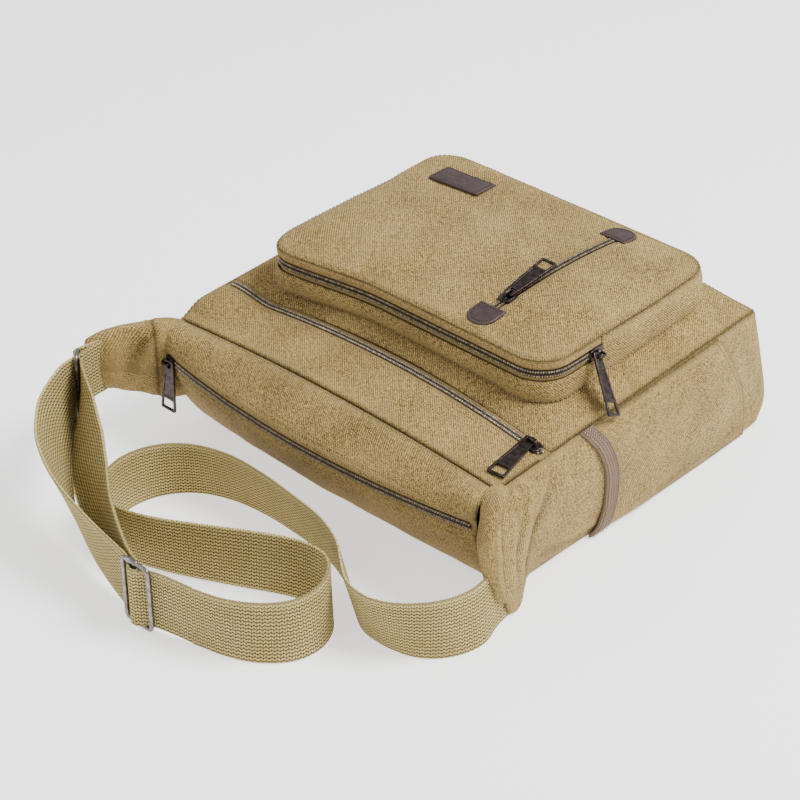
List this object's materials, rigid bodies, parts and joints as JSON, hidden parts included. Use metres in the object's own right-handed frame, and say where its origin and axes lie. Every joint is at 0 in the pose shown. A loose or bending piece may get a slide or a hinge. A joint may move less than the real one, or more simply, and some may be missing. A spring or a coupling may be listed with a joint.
{
  "type": "messenger bag",
  "caption": "Canvas messenger bag with a raised front pocket, zips with metal pulls, open side pockets and an adjustable webbing shoulder strap, lying on its back.",
  "frame": {"origin": "middle of the back face, on the floor the bag lies on", "axes": "+X across the bag's width, +Y from the zipped top to the bottom, +Z out of the front"},
  "size_m": [0.387, 0.5356, 0.1729],
  "materials": {
    "canvas": "washed cotton canvas, faded along folds",
    "canvas_band": "plain smooth canvas",
    "lining": "plain woven lining",
    "zip_tape": "herringbone zip tape",
    "zip_coil": "dark nylon coil",
    "gunmetal": "gunmetal plate with worn bright edges",
    "leather": "dark brown stitched leather",
    "pocket_tape": "herringbone twill tape",
    "webbing": "heavy cotton webbing with a chevron rib"
  },
  "bodies": {
    "bag": {"adjuster_bar": "gunmetal", "adjuster_frame": "gunmetal", "back_panel": "canvas", "bottom_panel": "canvas", "box_pocket_band": "canvas", "box_pocket_face": "canvas", "box_pocket_zip_band_lower": "canvas", "box_pocket_zip_band_upper": "canvas_band", "box_pocket_zip_chain": "zip_coil", "box_pocket_zip_tape": "zip_tape", "face_pocket_lining": "lining", "face_zip_chain": "zip_coil", "face_zip_tab_far": "leather", "face_zip_tab_near": "leather", "face_zip_tape": "zip_tape", "front_panel_lower": "canvas", "front_panel_upper": "canvas", "front_zip_chain": "zip_coil", "front_zip_tape": "zip_tape", "gusset_left": "canvas", "gusset_right": "canvas", "label_patch": "leather", "main_lining": "lining", "main_zip_chain": "zip_coil", "main_zip_tape": "zip_tape", "ring_loop": "webbing", "shoulder_strap": "webbing", "shoulder_strap_ring_end": "webbing", "side_pocket_left": "canvas", "side_pocket_right": "canvas", "side_pocket_tape_left": "pocket_tape", "side_pocket_tape_right": "pocket_tape", "slip_pocket_lining": "lining", "strap_ring": "gunmetal", "top_band_back": "canvas", "top_band_front": "canvas"},
    "main_zip_slider_body": {"main_zip_slider": "gunmetal"},
    "main_zip_pull_body": {"main_zip_pull": "gunmetal"},
    "front_zip_slider_body": {"front_zip_slider": "gunmetal"},
    "front_zip_pull_body": {"front_zip_pull": "gunmetal"},
    "box_pocket_zip_slider_body": {"box_pocket_zip_slider": "gunmetal"},
    "box_pocket_zip_pull_body": {"box_pocket_zip_pull": "gunmetal"},
    "face_zip_slider_body": {"face_zip_slider": "gunmetal"},
    "face_zip_pull_body": {"face_zip_pull": "gunmetal"}
  },
  "joints": [
    {"name": "main_zip_run", "type": "hinge", "parent": "bag", "child": "main_zip_slider_body", "pos_m": [0, 0.6675, 0.076], "axis": [0, 0, 1], "range_deg": [0, 19.75]},
    {"name": "main_zip_pull_swing", "type": "hinge", "parent": "main_zip_slider_body", "child": "main_zip_pull_body", "pos_m": [-0.15216, -0.18057, 0.076], "axis": [-0.1807, -0.9835, 0], "range_deg": [-3, 33]},
    {"name": "front_zip_run", "type": "hinge", "parent": "bag", "child": "front_zip_slider_body", "pos_m": [0, -0.95181, -0.79589], "axis": [0, 0.7254, -0.6883], "range_deg": [-11.7, 0]},
    {"name": "front_zip_pull_swing", "type": "hinge", "parent": "front_zip_slider_body", "child": "front_zip_pull_body", "pos_m": [0.15129, -0.09848, 0.10665], "axis": [0.0852, -0.056, 0.9948], "range_deg": [-25, 18]},
    {"name": "box_pocket_zip_run", "type": "slide", "parent": "bag", "child": "box_pocket_zip_slider_body", "axis": [0, 0.9999, 0.014], "range_m": [-0.0215, 0]},
    {"name": "box_pocket_zip_pull_swing", "type": "hinge", "parent": "box_pocket_zip_slider_body", "child": "box_pocket_zip_pull_body", "pos_m": [0.1472, -0.01861, 0.13975], "axis": [1, 0, 0], "range_deg": [-34, 14]},
    {"name": "face_zip_run", "type": "hinge", "parent": "bag", "child": "face_zip_slider_body", "pos_m": [0.065, 0.03645, -0.46554], "axis": [-1, 0, 0], "range_deg": [0, 10.57]},
    {"name": "face_zip_pull_lift", "type": "hinge", "parent": "face_zip_slider_body", "child": "face_zip_pull_body", "pos_m": [0.065, -0.02656, 0.16366], "axis": [1, 0, 0], "range_deg": [0, 75]}
  ]
}
